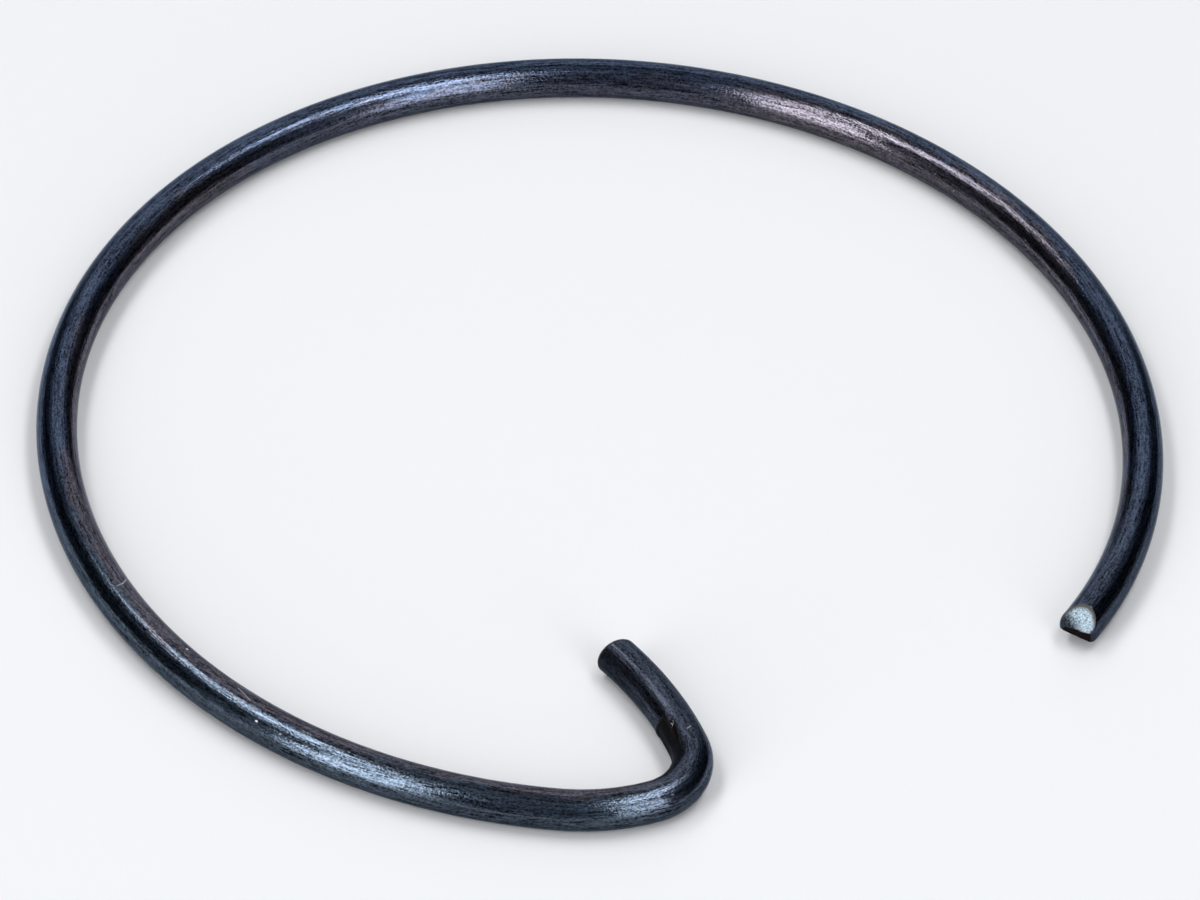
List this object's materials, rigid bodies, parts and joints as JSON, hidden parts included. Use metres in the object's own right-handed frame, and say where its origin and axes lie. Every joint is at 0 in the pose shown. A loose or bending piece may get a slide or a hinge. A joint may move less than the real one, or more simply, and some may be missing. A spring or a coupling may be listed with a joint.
{
  "type": "circlip retaining ring",
  "caption": "Open snap ring of blued round spring wire with one end bent inwards into a short hook, for holding a part in a bore's groove.",
  "frame": {"origin": "centre of the ring, half way up the wire", "axes": "+Z is the ring's axis, upwards as it lies flat; -Y is the front, where the hook leaves the round; +X is to the right"},
  "size_m": [0.0414, 0.0414, 0.0014],
  "materials": {
    "blued_wire": "blue-black drawn spring wire with a satin sheen, fine lengthwise drawing lines, and bright steel on the cut end"
  },
  "bodies": {
    "root": {"ring": "blued_wire"}
  },
  "joints": []
}
